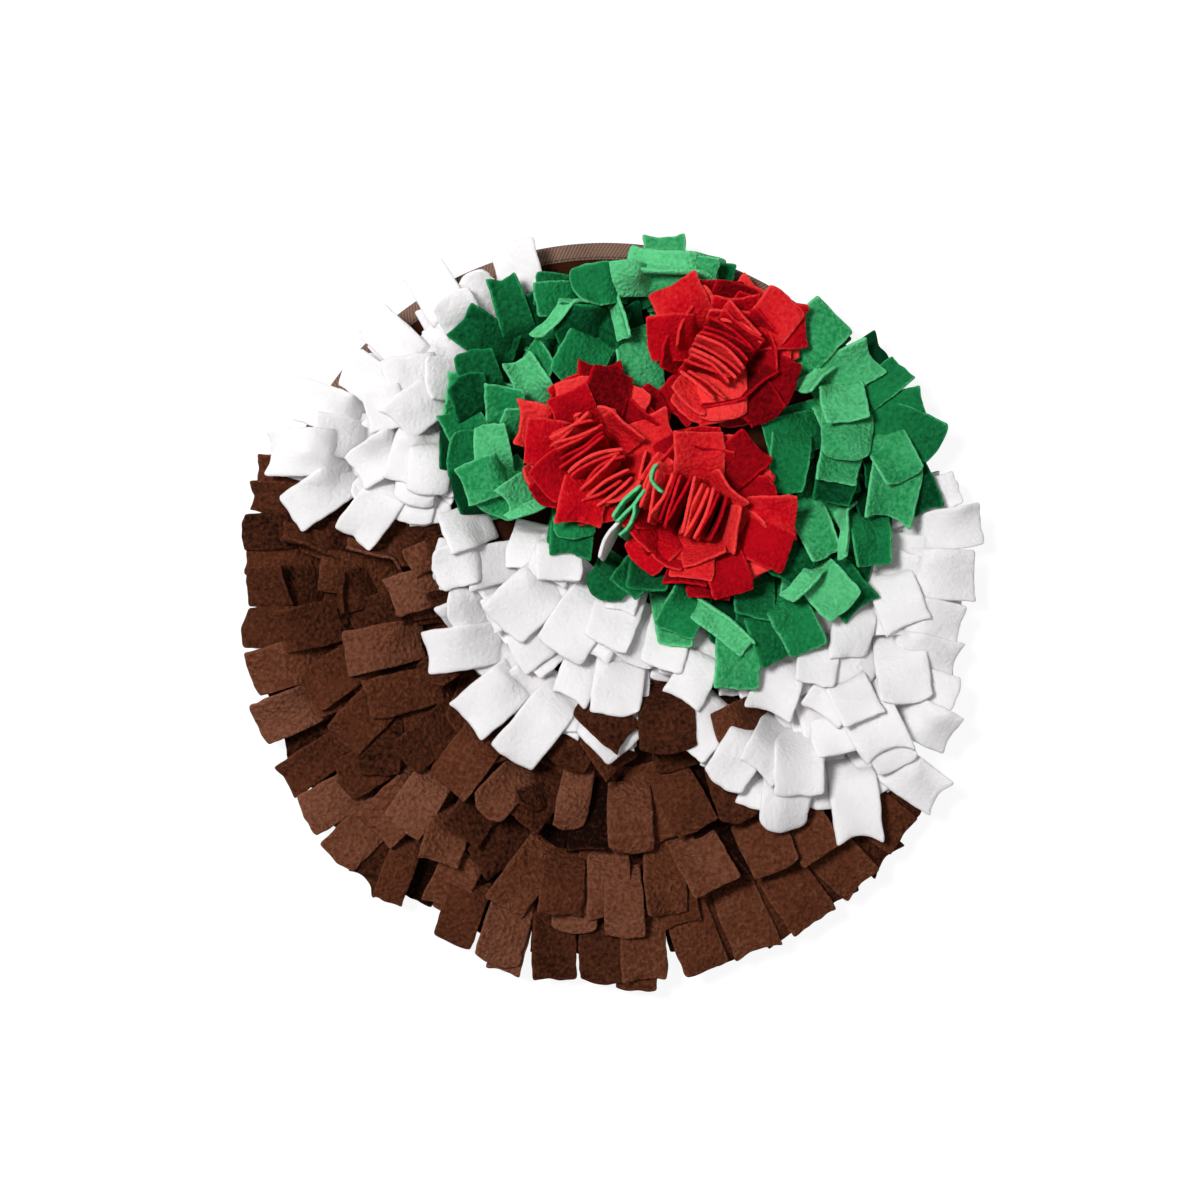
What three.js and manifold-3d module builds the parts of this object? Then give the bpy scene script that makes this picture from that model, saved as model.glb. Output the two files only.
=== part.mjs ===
// Christmas pudding snuffle mat for pets, 400 mm across: a flat round base with a bound rim, rows of fleece
// fringe sewn on it as the brown pudding, the white icing and the green holly, and three red fleece rosettes
// as the berries. Millimetres, +Z up, the origin on the underside at the middle of the base.
import * as THREE from "three";
import { mergeVertices } from "three/addons/utils/BufferGeometryUtils.js";
import Module from "manifold-3d";

const wasm = await Module();
wasm.setup();

// Driving sizes
const BASE_RADIUS = 200;
const BASE_THICKNESS = 3;
const RIM_SEGMENTS = 52;
const TAPE_WIDTH = 10;
const TAPE_THICKNESS = 0.7;
const RIM_PRESSED = 1; // how far the tape's seam presses the underside up at the rim
const GAP = 0.3; // between any two pieces
const FRINGE_THICKNESS = 3.8; // two layers of fleece, one on the other
const HEM_WIDTH = 6; // the uncut edge of a strip, where it is sewn down
const TAB_WIDTH = 26;
const BEND_EVERY = 12.5; // along a tab, which is straight between its bends
const SLIT = 2; // between two tabs of a strip, at the seam
const SPRING = 5; // how high a tab springs up off its seam
const SPRING_LENGTH = 9;
const LEAN = 2; // degrees a tab of a fanned row may lean to either side
const FAN = 12; // degrees a straight seam's tabs fan out in all
const LENGTH_SCATTER = 0.06; // share by which tabs are cut longer or shorter
const FLEECE_THICKNESS = 3; // a berry's petal
const PETAL_WIDTH = 28;
const PETAL_DROOP = 0.12; // fall of an outer petal over each mm of its way out
const FOOT_RADIUS = 25;
const FOOT_HEIGHT = 5;
const FOOT_SEGMENTS = 18;
const CORE_PETALS = 5;
const CORE_HEIGHT = 44;

// Cloth colours and finish
const CLOTH = {
  base: { color: 0x2a1812, roughness: 0.95 },
  tape: { color: 0x664a3c, roughness: 0.85 },
  brown: { color: 0x5d3220, roughness: 1 },
  white: { color: 0xeeeaec, roughness: 1 },
  green: { color: 0x188049, roughness: 1 },
  red: { color: 0xd00c22, roughness: 1 },
};

// Strips of fringe, in the order they are sewn on, so each lies over the ones before it. A seam runs from
// (x0, y0) to (x1, y1) with its tabs on the right, bow is how far its middle stands out to that side, and
// climb is how much a tab rises on its way out over the rows below it.
const STRIP_COLUMNS = ["name", "cloth", "x0", "y0", "x1", "y1", "bow", "tabs", "length", "climb"];
const STRIPS = [
  // the pudding, from the rim inwards
  ["pudding_row_1", "brown", -156, 50, 145, -112, 158, 21, 48, -0.09],
  ["pudding_row_2", "brown", -138, 34, 93, -118, 103, 15, 47, 0.1],
  ["pudding_row_3", "brown", -119, 33, 64, -99, 78, 11, 44, 0.15],
  ["pudding_row_4", "brown", -98, 30, -30, -88, 30, 5, 42, 0.15],
  ["pudding_left_notch", "brown", -88, 40, -86, -16, 2, 2, 36, 0.15],
  // the icing's left lobe
  ["icing_left_row_1", "white", -27, 150, -156, 52, 22, 7, 48, -0.09],
  ["icing_left_drip", "white", -142, 66, -98, 50, 4, 2, 36, 0.15],
  ["icing_left_row_2", "white", -72, 126, -116, 72, 3, 3, 44, 0.15],
  ["icing_left_row_3", "white", -122, 86, -84, 72, 2, 2, 32, 0.15],
  // its middle lobe
  ["icing_middle_row_1", "white", -72, 20, 18, -72, 30, 6, 46, 0.15],
  ["icing_middle_row_2", "white", -48, 24, 26, -46, 18, 5, 46, 0.15],
  ["pudding_right_notch", "brown", 24, -66, 76, -62, 2, 2, 40, 0.15],
  ["icing_middle_row_3", "white", -20, 12, 58, -30, 8, 4, 42, 0.15],
  ["icing_middle_row_4", "white", -54, 30, -18, 22, 0, 2, 30, 0.15],
  // its right lobe
  ["icing_right_row_1", "white", 163, -77, 158, 52, 13, 5, 47, -0.09],
  ["icing_right_row_2", "white", 82, -106, 168, -88, 12, 3, 46, 0.1],
  ["icing_right_corner", "white", 62, -66, 98, -92, 1, 2, 44, 0.15],
  ["icing_right_row_3", "white", 100, -80, 162, -64, 6, 2, 44, 0.15],
  ["icing_right_row_4", "white", 106, -54, 160, -40, 4, 2, 46, 0.15],
  ["icing_right_row_5", "white", 70, -28, 146, -20, 3, 3, 50, 0.15],
  ["icing_right_row_6", "white", 150, -34, 160, 22, 2, 2, 46, 0.15],
  // the holly along the bottom of its ring
  ["holly_under_left_berry", "green", -34, 45, -8, 43, 0, 1, 28, 0.15],
  ["holly_under_right_berry", "green", -2, 14, 24, -4, 0, 1, 26, 0.15],
  ["holly_bottom_row", "green", 20, -2, 128, 6, 8, 4, 42, 0.15],
];

// The rest of the holly ring is short straight strips: three along its outer edge on the right, with their
// tabs outwards, and then strips set round it like the vanes of a pinwheel, with their tabs clockwise.
const HOLLY_CLIMB = 0.15;
const HOLLY_COLUMNS = ["x0", "y0", "x1", "y1", "tabs", "length"];
const HOLLY = [
  [155, 62, 143, 106, 2, 42],
  [143, 100, 124, 124, 1, 38],
  [123, 113, 103, 133, 1, 40],
  [121, 41, 167, 21, 2, 36],
  [117, 62, 170, 53, 2, 36],
  [116, 79, 173, 85, 2, 36],
  [97, 93, 157, 110, 2, 36],
  [44, 168, 46, 190, 1, 30],
  [32, 160, 26, 185, 1, 42],
  [10, 154, -2, 177, 1, 40],
  [7, 123, -28, 164, 2, 36],
  [0, 109, -58, 149, 3, 36],
  [-30, 103, -79, 122, 2, 38],
  [-37, 84, -89, 92, 2, 38],
  [-38, 66, -90, 62, 2, 38],
  [-35, 49, -79, 37, 2, 34],
];

// The berries: each has its middle, the way its upright core petals face, and its reach.
const BERRY_COLUMNS = ["name", "x", "y", "facing", "reach"];
const BERRIES = [
  ["berry_top", 72, 134, 62, 45],
  ["berry_left", -5, 79, 124, 48],
  ["berry_right", 58, 38, 154, 51],
];

const rowsOf = (columns, rows) =>
  rows.map((row) => Object.fromEntries(columns.map((column, i) => [column, row[i]])));

// Even scatter between -1 and 1, the same every time for the same seed.
function scatter(seed) {
  const s = Math.sin(seed * 12.9898 + 4.1414) * 43758.5453;
  return 2 * (s - Math.floor(s)) - 1;
}

// The pile so far: the height of the highest cloth over each cell of a square grid.
const CELL = 1;
const HALF_CELLS = 270;
const pile = new Float32Array((2 * HALF_CELLS + 1) ** 2);
const cellAt = (v) => Math.round(v / CELL) + HALF_CELLS;
for (let row = 0; row <= 2 * HALF_CELLS; row++)
  for (let col = 0; col <= 2 * HALF_CELLS; col++) {
    const radius = CELL * Math.hypot(row - HALF_CELLS, col - HALF_CELLS);
    const onTape = Math.abs(radius - BASE_RADIUS + TAPE_WIDTH / 2) < TAPE_WIDTH / 2 + CELL;
    const onBase = radius < BASE_RADIUS ? BASE_THICKNESS : 0;
    pile[row * (2 * HALF_CELLS + 1) + col] = onTape ? BASE_THICKNESS + GAP + TAPE_THICKNESS : onBase;
  }

function pileNear(x, y) {
  let highest = 0;
  for (let row = cellAt(y) - 1; row <= cellAt(y) + 1; row++)
    for (let col = cellAt(x) - 1; col <= cellAt(x) + 1; col++)
      highest = Math.max(highest, pile[row * (2 * HALF_CELLS + 1) + col]);
  return highest;
}

function raisePile(x, y, height) {
  const cell = cellAt(y) * (2 * HALF_CELLS + 1) + cellAt(x);
  pile[cell] = Math.max(pile[cell], height);
}

// Visits points spread over the four-sided patch between edge a-b and edge d-c, u being the way across.
function overPatch(a, b, c, d, visit) {
  const steps = 30;
  for (let i = 0; i <= steps; i++)
    for (let j = 0; j <= steps; j++) {
      const u = i / steps;
      const v = j / steps;
      const x = (1 - u) * ((1 - v) * a[0] + v * b[0]) + u * ((1 - v) * d[0] + v * c[0]);
      const y = (1 - u) * ((1 - v) * a[1] + v * b[1]) + u * ((1 - v) * d[1] + v * c[1]);
      visit(x, y, u);
    }
}

function highestUnder(a, b, c, d) {
  let highest = 0;
  overPatch(a, b, c, d, (x, y) => {
    highest = Math.max(highest, pileNear(x, y));
  });
  return highest;
}

// Lifts the far end of a straight stretch of cloth, and its near end where that is free, off the pile.
function restOnPile(near, far, nearIsFree) {
  overPatch(near.left, near.right, far.right, far.left, (x, y, u) => {
    const missing = pileNear(x, y) + GAP - (1 - u) * near.z - u * far.z;
    if (missing <= 0) return;
    if (nearIsFree) {
      const share = (1 - u) ** 2 + u ** 2;
      near.z += (missing * (1 - u)) / share;
      far.z += (missing * u) / share;
    } else if (u > 0.5) far.z += missing / u;
    else {
      near.z += missing;
      far.z += missing;
    }
  });
}

// A seam as a round arc: where it is at t from 0 to 1, and the way its tabs point there.
function seamArc({ x0, y0, x1, y1, bow }) {
  const chord = Math.hypot(x1 - x0, y1 - y0);
  const along = [(x1 - x0) / chord, (y1 - y0) / chord];
  const out = [along[1], -along[0]];
  if (bow === 0)
    return (t) => ({
      at: [x0 + t * chord * along[0], y0 + t * chord * along[1]],
      points: Math.atan2(out[1], out[0]),
      run: chord,
      turn: 0,
    });
  const radius = (chord * chord / 4 + bow * bow) / (2 * bow);
  const half = 2 * Math.atan(2 * bow / chord);
  const middle = [(x0 + x1) / 2 + (bow - radius) * out[0], (y0 + y1) / 2 + (bow - radius) * out[1]];
  return (t) => {
    const angle = half * (2 * t - 1);
    const way = [
      Math.sin(angle) * along[0] + Math.cos(angle) * out[0],
      Math.sin(angle) * along[1] + Math.cos(angle) * out[1],
    ];
    return {
      at: [middle[0] + radius * way[0], middle[1] + radius * way[1]],
      points: Math.atan2(way[1], way[0]),
      run: 2 * half * radius,
      turn: 2 * half,
    };
  };
}

// One tab in plan: its left and right edge points from the seam to the tip, and its lowest height at each.
// Where the rows are crowded a tab is narrower at its root, and it widens only as far as its neighbours allow.
function layTab(seam, t, strip, seed) {
  const { at, points, run, turn } = seam(t);
  const free = strip.bow > 10;
  const turned = free ? LEAN * scatter(seed) : FAN * (t - 0.5);
  const lean = points + THREE.MathUtils.degToRad(turned);
  const length = strip.length * (1 + LENGTH_SCATTER * scatter(seed + 0.7));
  const rootWidth = Math.min(TAB_WIDTH, run / strip.tabs - SLIT);
  const apart = turn / strip.tabs + THREE.MathUtils.degToRad(free ? -2 * LEAN : FAN / strip.tabs);
  const room = strip.tabs === 1 ? TAB_WIDTH : rootWidth + length * apart;
  const width = Math.min(TAB_WIDTH + scatter(seed + 0.3), room);
  const steps = Math.ceil(strip.length / BEND_EVERY);
  const edges = [];
  for (let step = 0; step <= steps; step++) {
    const share = step / steps;
    const angle = step === 0 ? points : lean;
    const side = [-Math.sin(angle), Math.cos(angle)];
    const u = length * share;
    const centre = [at[0] + u * Math.cos(lean), at[1] + u * Math.sin(lean)];
    const half = (rootWidth + (width - rootWidth) * share) / 2;
    const spring = SPRING * (1 - Math.exp(-u / SPRING_LENGTH));
    edges.push({
      left: [centre[0] + half * side[0], centre[1] + half * side[1]],
      right: [centre[0] - half * side[0], centre[1] - half * side[1]],
      z: Math.max(GAP, BASE_THICKNESS + GAP + spring + strip.climb * u),
    });
  }
  for (let step = 0; step < steps; step++) restOnPile(edges[step], edges[step + 1], step > 0);
  const hem = [HEM_WIDTH * Math.cos(points), HEM_WIDTH * Math.sin(points)];
  const inner = {
    left: [edges[0].left[0] - hem[0], edges[0].left[1] - hem[1]],
    right: [edges[0].right[0] - hem[0], edges[0].right[1] - hem[1]],
  };
  inner.z = highestUnder(inner.left, inner.right, edges[0].right, edges[0].left) + GAP;
  edges[0].z = Math.max(edges[0].z, inner.z);
  return { edges, inner };
}

// One strip of fringe as one closed solid: its hem runs along the seam, and its tabs stand out from it.
function fringe(strip, order) {
  const seam = seamArc(strip);
  const positions = [];
  const faces = [];
  const point = (xy, z) => positions.push(xy[0], xy[1], z) / 3 - 1;
  const quad = (a, b, c, d) => faces.push(a, b, c, a, c, d);
  const laid = [];
  for (let i = 0; i < strip.tabs; i++)
    laid.push(layTab(seam, (i + 0.5) / strip.tabs, strip, order * 31 + i));
  // A ring of four corners at each side of each tab's root: hem low, hem high, edge high, edge low.
  const rings = [];
  for (const { edges, inner } of laid) {
    // Travelling along the seam, the left edge of a tab that points right of it comes later.
    for (const side of ["right", "left"])
      rings.push([
        point(inner[side], inner.z),
        point(inner[side], inner.z + FRINGE_THICKNESS),
        point(edges[0][side], edges[0].z + FRINGE_THICKNESS),
        point(edges[0][side], edges[0].z),
      ]);
  }
  laid.forEach(({ edges }, i) => {
    const [start, end] = [rings[2 * i], rings[2 * i + 1]];
    quad(start[0], start[1], end[1], end[0]);
    quad(start[1], start[2], end[2], end[1]);
    quad(start[3], start[0], end[0], end[3]);
    if (i + 1 < laid.length) {
      const next = rings[2 * i + 2];
      for (let corner = 0; corner < 4; corner++)
        quad(end[corner], end[(corner + 1) % 4], next[(corner + 1) % 4], next[corner]);
    }
    let ring = [start[3], start[2], end[2], end[3]];
    for (let step = 1; step < edges.length; step++) {
      const { left, right, z } = edges[step];
      const top = z + FRINGE_THICKNESS;
      const next = [point(right, z), point(right, top), point(left, top), point(left, z)];
      for (let corner = 0; corner < 4; corner++)
        quad(ring[corner], next[corner], next[(corner + 1) % 4], ring[(corner + 1) % 4]);
      ring = next;
    }
    quad(ring[0], ring[3], ring[2], ring[1]);
  });
  const first = rings[0];
  const last = rings[rings.length - 1];
  quad(first[3], first[2], first[1], first[0]);
  quad(last[0], last[1], last[2], last[3]);
  for (const { edges, inner } of laid) {
    overPatch(inner.left, inner.right, edges[0].right, edges[0].left, (x, y) =>
      raisePile(x, y, edges[0].z + FRINGE_THICKNESS));
    for (let step = 1; step < edges.length; step++) {
      const [near, far] = [edges[step - 1], edges[step]];
      const nearTop = near.z + FRINGE_THICKNESS;
      const farTop = far.z + FRINGE_THICKNESS;
      overPatch(near.left, near.right, far.right, far.left, (x, y, u) =>
        raisePile(x, y, (1 - u) * nearTop + u * farTop));
    }
  }
  const geometry = new THREE.BufferGeometry();
  geometry.setAttribute("position", new THREE.Float32BufferAttribute(positions, 3));
  geometry.setIndex(faces);
  return geometry;
}

// A closed mesh as a solid that can be joined, and back again.
function solidOf(geometry) {
  const bare = geometry.clone();
  bare.deleteAttribute("normal");
  bare.deleteAttribute("uv");
  const merged = mergeVertices(bare, 1e-4);
  return new wasm.Manifold(
    new wasm.Mesh({
      numProp: 3,
      vertProperties: merged.attributes.position.array,
      triVerts: new Uint32Array(merged.index.array),
    }),
  );
}

function geometryOf(solid) {
  const mesh = solid.getMesh();
  const geometry = new THREE.BufferGeometry();
  geometry.setAttribute("position", new THREE.Float32BufferAttribute(mesh.vertProperties, 3));
  geometry.setIndex(new THREE.Uint32BufferAttribute(mesh.triVerts, 1));
  return geometry;
}

// A petal's solid: fleece that follows rows of distance out, height and width, narrow where it is gathered
// on the foot.
function petal(rows, turn, x, y) {
  const positions = [];
  const faces = [];
  const quad = (a, b, c, d) => faces.push(a, b, c, a, c, d);
  rows.forEach(([out, up, width], i) => {
    const [o0, u0] = rows[Math.max(i - 1, 0)];
    const [o1, u1] = rows[Math.min(i + 1, rows.length - 1)];
    const length = Math.hypot(o1 - o0, u1 - u0);
    const inward = [(-FLEECE_THICKNESS * (u1 - u0)) / length, (FLEECE_THICKNESS * (o1 - o0)) / length];
    const corners = [
      [out, -width / 2, up],
      [out, width / 2, up],
      [out + inward[0], width / 2, up + inward[1]],
      [out + inward[0], -width / 2, up + inward[1]],
    ];
    for (const [along, side, height] of corners)
      positions.push(
        x + along * Math.cos(turn) - side * Math.sin(turn),
        y + along * Math.sin(turn) + side * Math.cos(turn),
        height,
      );
    if (i === 0) return;
    const near = 4 * (i - 1);
    for (let corner = 0; corner < 4; corner++) {
      const next = (corner + 1) % 4;
      quad(near + corner, near + next, near + 4 + next, near + 4 + corner);
    }
  });
  const last = positions.length / 3 - 4;
  quad(3, 2, 1, 0);
  quad(last, last + 1, last + 2, last + 3);
  const geometry = new THREE.BufferGeometry();
  geometry.setAttribute("position", new THREE.Float32BufferAttribute(positions, 3));
  geometry.setIndex(faces);
  return geometry;
}

// The rounds of petals that open out from a berry's core: start is where they leave the foot, rise how high
// they stand, share their part of the berry's reach and skew the degrees the round is turned.
const ROUND_COLUMNS = ["petals", "start", "rise", "share", "skew"];
const ROUNDS = [
  [6, 16, 36, 0.74, 22],
  [8, 21.5, 26, 1, 0],
];

// How far out a petal at this angle may reach before it meets the next berry.
function roomFor(berry, angle) {
  const clear = 2;
  let room = Infinity;
  for (const other of rowsOf(BERRY_COLUMNS, BERRIES)) {
    if (other.name === berry.name) continue;
    const apart = Math.hypot(other.x - berry.x, other.y - berry.y);
    const off = angle - Math.atan2(other.y - berry.y, other.x - berry.x);
    const corner = (PETAL_WIDTH / 2) * Math.abs(Math.sin(off));
    if (Math.cos(off) > 0.2) room = Math.min(room, (apart / 2 - clear - corner) / Math.cos(off));
  }
  return room;
}

// An upright petal of the core, slant counting the petals off from the middle one.
function corePetal(slant, low, wobble) {
  const middle = FLEECE_THICKNESS / 2;
  return [
    [4.6 * slant + middle, low, 20],
    [5.4 * slant + middle, low + 20, 23],
    [7 * slant + middle, CORE_HEIGHT - 1.2 * slant * slant + wobble, 26],
  ];
}

// A petal of a round: up from the foot, over a knee and out to its tip.
function openPetal(berry, round, angle, low, seed) {
  const bend = round.start + 4;
  const wanted = berry.reach * round.share - 1.5 + 1.5 * scatter(seed + 0.4);
  const out = Math.max(bend + 3, Math.min(wanted, roomFor(berry, angle)));
  const widthAt = (distance) =>
    Math.min(PETAL_WIDTH, (2 * Math.PI * (distance - FLEECE_THICKNESS / 2)) / round.petals - 1);
  const edge = (distance, sign) => [
    berry.x + distance * Math.cos(angle) - (sign * widthAt(distance) * Math.sin(angle)) / 2,
    berry.y + distance * Math.sin(angle) + (sign * widthAt(distance) * Math.cos(angle)) / 2,
  ];
  const knee = { left: edge(bend, 1), right: edge(bend, -1), z: round.rise + 2 * scatter(seed + 0.6) };
  const tip = { left: edge(out, 1), right: edge(out, -1), z: knee.z - PETAL_DROOP * (out - bend) };
  restOnPile(knee, tip, true);
  return [
    [round.start, low, widthAt(round.start)],
    [round.start + 1, low + 6, widthAt(round.start)],
    [bend, knee.z, widthAt(bend)],
    [out, tip.z, widthAt(out)],
  ];
}

// A berry: a strip of red fleece petals gathered on a round foot. Those at the core stand upright one
// behind the other, and two rounds of petals open out from them.
function rosette(berry, order) {
  const { x, y } = berry;
  const foot = pileNear(x, y) + GAP;
  const disc = new THREE.CylinderGeometry(FOOT_RADIUS, FOOT_RADIUS, FOOT_HEIGHT, FOOT_SEGMENTS);
  disc.rotateX(Math.PI / 2);
  disc.translate(x, y, foot + FOOT_HEIGHT / 2);
  let solid = solidOf(disc);
  const low = foot + FOOT_HEIGHT / 2;
  const turn = THREE.MathUtils.degToRad(berry.facing);
  for (let i = 0; i < CORE_PETALS; i++) {
    const rows = corePetal(i - (CORE_PETALS - 1) / 2, low, scatter(order + i));
    solid = solid.add(solidOf(petal(rows, turn, x, y)));
  }
  for (const round of rowsOf(ROUND_COLUMNS, ROUNDS))
    for (let i = 0; i < round.petals; i++) {
      const seed = order * 17 + i + round.petals;
      const skew = THREE.MathUtils.degToRad(round.skew + 3 * scatter(seed));
      const angle = turn + (2 * Math.PI * i) / round.petals + skew;
      solid = solid.add(solidOf(petal(openPetal(berry, round, angle, low, seed), angle, x, y)));
    }
  // The petals may close off small pockets over the foot, which are filled by keeping the outer skin alone.
  const skins = solid.decompose().sort((a, b) => b.volume() - a.volume());
  return geometryOf(skins[0]);
}

// The base: one flat round of brown cloth, pressed thinner where the tape grips its edge.
function baseCloth() {
  const seamRadius = BASE_RADIUS - TAPE_WIDTH;
  const outer = BASE_RADIUS - TAPE_THICKNESS - GAP;
  const profile = [
    [0, 0],
    [seamRadius - GAP, 0],
    [seamRadius, RIM_PRESSED],
    [outer, RIM_PRESSED],
    [outer, BASE_THICKNESS],
    [0, BASE_THICKNESS],
  ].map(([r, z]) => new THREE.Vector2(r, z));
  return new THREE.LatheGeometry(profile, RIM_SEGMENTS).rotateX(Math.PI / 2);
}

// The binding: one tape folded over the edge, with a lip above and a lip below.
function binding() {
  const inner = BASE_RADIUS - TAPE_WIDTH;
  const fold = BASE_RADIUS - TAPE_THICKNESS;
  const lipTop = BASE_THICKNESS + GAP;
  const profile = [
    [inner + GAP, 0],
    [BASE_RADIUS, 0],
    [BASE_RADIUS, lipTop + TAPE_THICKNESS],
    [inner, lipTop + TAPE_THICKNESS],
    [inner, lipTop],
    [fold, lipTop],
    [fold, TAPE_THICKNESS],
    [inner + GAP, TAPE_THICKNESS],
    [inner + GAP, 0],
  ].map(([r, z]) => new THREE.Vector2(r, z));
  return new THREE.LatheGeometry(profile, RIM_SEGMENTS).rotateX(Math.PI / 2);
}

const mat = new THREE.Group();

function addPiece(name, cloth, geometry) {
  const material = new THREE.MeshStandardMaterial({ ...CLOTH[cloth], metalness: 0 });
  const mesh = new THREE.Mesh(geometry, material);
  mesh.name = name;
  mat.add(mesh);
}

addPiece("base_cloth", "base", baseCloth());
addPiece("rim_binding", "tape", binding());

rowsOf(STRIP_COLUMNS, STRIPS).forEach((strip, i) => {
  addPiece(strip.name, strip.cloth, fringe(strip, i + 1));
});

rowsOf(HOLLY_COLUMNS, HOLLY).forEach((strip, i) => {
  const straight = { ...strip, bow: 0, climb: HOLLY_CLIMB };
  addPiece("holly_strip_" + (i + 1), "green", fringe(straight, 40 + i));
});

rowsOf(BERRY_COLUMNS, BERRIES).forEach((berry, i) => {
  addPiece(berry.name, "red", rosette(berry, i + 1));
});

export default mat;
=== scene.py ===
import math

import bmesh
import bpy
import numpy as np
from mathutils import Matrix, Vector


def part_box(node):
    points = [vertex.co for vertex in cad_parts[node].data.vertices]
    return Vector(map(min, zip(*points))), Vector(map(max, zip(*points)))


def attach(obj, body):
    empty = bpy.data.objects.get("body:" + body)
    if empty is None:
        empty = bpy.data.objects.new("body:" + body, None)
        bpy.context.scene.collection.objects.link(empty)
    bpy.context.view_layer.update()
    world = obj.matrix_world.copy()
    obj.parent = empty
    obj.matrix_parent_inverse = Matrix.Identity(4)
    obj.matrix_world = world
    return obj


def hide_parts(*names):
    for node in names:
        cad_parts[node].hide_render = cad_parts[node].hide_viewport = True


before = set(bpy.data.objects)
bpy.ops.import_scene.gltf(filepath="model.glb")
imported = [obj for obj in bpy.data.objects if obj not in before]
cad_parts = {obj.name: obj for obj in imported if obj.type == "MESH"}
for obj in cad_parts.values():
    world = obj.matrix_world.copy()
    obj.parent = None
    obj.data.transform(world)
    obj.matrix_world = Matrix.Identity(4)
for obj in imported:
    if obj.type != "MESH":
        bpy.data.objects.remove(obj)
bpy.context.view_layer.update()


# The base: one flat round of dark brown felted cloth. Its edge is cut at the rim and gripped by the binding,
# and every strip of fringe is sewn down on it.
BASE_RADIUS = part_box("rim_binding")[1].x
BASE_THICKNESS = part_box("base_cloth")[1].z
CUT_RADIUS = BASE_RADIUS - 0.0012
TAPE_WIDTH = 0.010


class Shade:
    """One output of a material's nodes. Sums and products of them add Math nodes."""

    def __init__(self, tree, socket=None):
        self.tree = tree
        self.socket = socket

    def node(self, kind, settings=None, inputs=None, output=0):
        made = self.tree.nodes.new(kind)
        for name, value in (settings or {}).items():
            if name == "stops":
                ramp = made.color_ramp
                for _ in value[2:]:
                    ramp.elements.new(0.5)
                for element, (position, colour) in zip(ramp.elements, value):
                    element.position = position
                    element.color = (*colour, 1)
            else:
                setattr(made, name, value)
        for name, value in (inputs or {}).items():
            if isinstance(value, Shade):
                self.tree.links.new(value.socket, made.inputs[name])
            else:
                made.inputs[name].default_value = value
        return Shade(self.tree, made.outputs[output] if made.outputs else None)

    def maths(self, operation, first, second):
        return self.node("ShaderNodeMath", {"operation": operation}, {0: first, 1: second})

    def __add__(self, other):
        return self.maths("ADD", self, other)

    def __sub__(self, other):
        return self.maths("SUBTRACT", self, other)

    def __rsub__(self, other):
        return self.maths("SUBTRACT", other, self)

    def __mul__(self, other):
        return self.maths("MULTIPLY", self, other)

    def __pow__(self, other):
        return self.maths("POWER", self, other)

    __radd__ = __add__
    __rmul__ = __mul__

    def ramp(self, *stops):
        return self.node("ShaderNodeValToRGB", {"stops": stops}, {"Fac": self})


def new_material(name):
    material = bpy.data.materials.new(name)
    material.use_nodes = True
    material.node_tree.nodes.clear()
    return material, Shade(material.node_tree)


def finish_material(cloth, colour, normal, **settings):
    inputs = {"Base Color": colour, "Normal": normal, **settings}
    surface = cloth.node("ShaderNodeBsdfPrincipled", None, inputs)
    cloth.node("ShaderNodeOutputMaterial", None, {"Surface": surface})


def place(piece, material, slot, *nodes):
    """Gives a piece its material and body, and puts it in place of solids in the frame. slot is not used."""
    piece.data.materials.append(material)
    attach(piece, "root")
    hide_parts(*nodes)


def piece_from(bm, name):
    mesh = bpy.data.meshes.new(name)
    bm.to_mesh(mesh)
    bm.free()
    for face in mesh.polygons:
        face.use_smooth = True
    piece = bpy.data.objects.new(name, mesh)
    bpy.context.scene.collection.objects.link(piece)
    return piece


def spun(profile, steps):
    """A round shape, from the radius and height of each point of its profile."""
    bm = bmesh.new()
    corners = [bm.verts.new((radius, 0, height)) for radius, height in profile]
    edges = [bm.edges.new(pair) for pair in zip(corners, corners[1:])]
    bmesh.ops.spin(bm, geom=corners + edges, cent=(0, 0, 0), axis=(0, 0, 1), angle=2 * math.pi, steps=steps,
                   use_merge=True)
    bmesh.ops.remove_doubles(bm, verts=bm.verts, dist=1e-6)
    bmesh.ops.recalc_face_normals(bm, faces=bm.faces)
    return bm


profile = [(0, 0), (0.06, 0), (0.12, 0), (0.17, 0), (CUT_RADIUS - TAPE_WIDTH, 0),
           (CUT_RADIUS - 0.004, 0.0011), (CUT_RADIUS, 0.0013), (CUT_RADIUS, 0.0029),
           (CUT_RADIUS - TAPE_WIDTH, BASE_THICKNESS)]
profile += [(radius, BASE_THICKNESS) for radius in (0.17, 0.12, 0.06, 0)]
base = piece_from(spun(profile, steps=144), "base_round")

felt, cloth = new_material("base felt")
spot = cloth.node("ShaderNodeTexCoord", output=3)
fibre = cloth.node("ShaderNodeTexNoise", None, {"Vector": spot, "Scale": 900, "Detail": 4, "Roughness": 0.7})
patch = cloth.node("ShaderNodeTexNoise", None, {"Vector": spot, "Scale": 60, "Detail": 2})
tone = (0.7 * fibre + 0.3 * patch).ramp((0.3, (0.012, 0.0032, 0.0012)), (0.7, (0.052, 0.0150, 0.0062)))
raised = cloth.node("ShaderNodeBump", None, {"Height": fibre, "Distance": 0.0006, "Strength": 0.6})
finish_material(cloth, tone, raised, **{"Roughness": 0.95, "Specular IOR Level": 0.06})
place(base, felt, "base_cloth", "base_cloth")


# The binding: a woven tape, 20 mm wide, folded over the rim so that 10 mm shows on each face, and stitched
# along its inner edge.
TAPE_THICKNESS = 0.0008
TAPE_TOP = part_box("rim_binding")[1].z
TAPE_EDGE = BASE_RADIUS - TAPE_WIDTH
STITCH_RADIUS = TAPE_EDGE + 0.0012
STITCHES = 350
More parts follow.
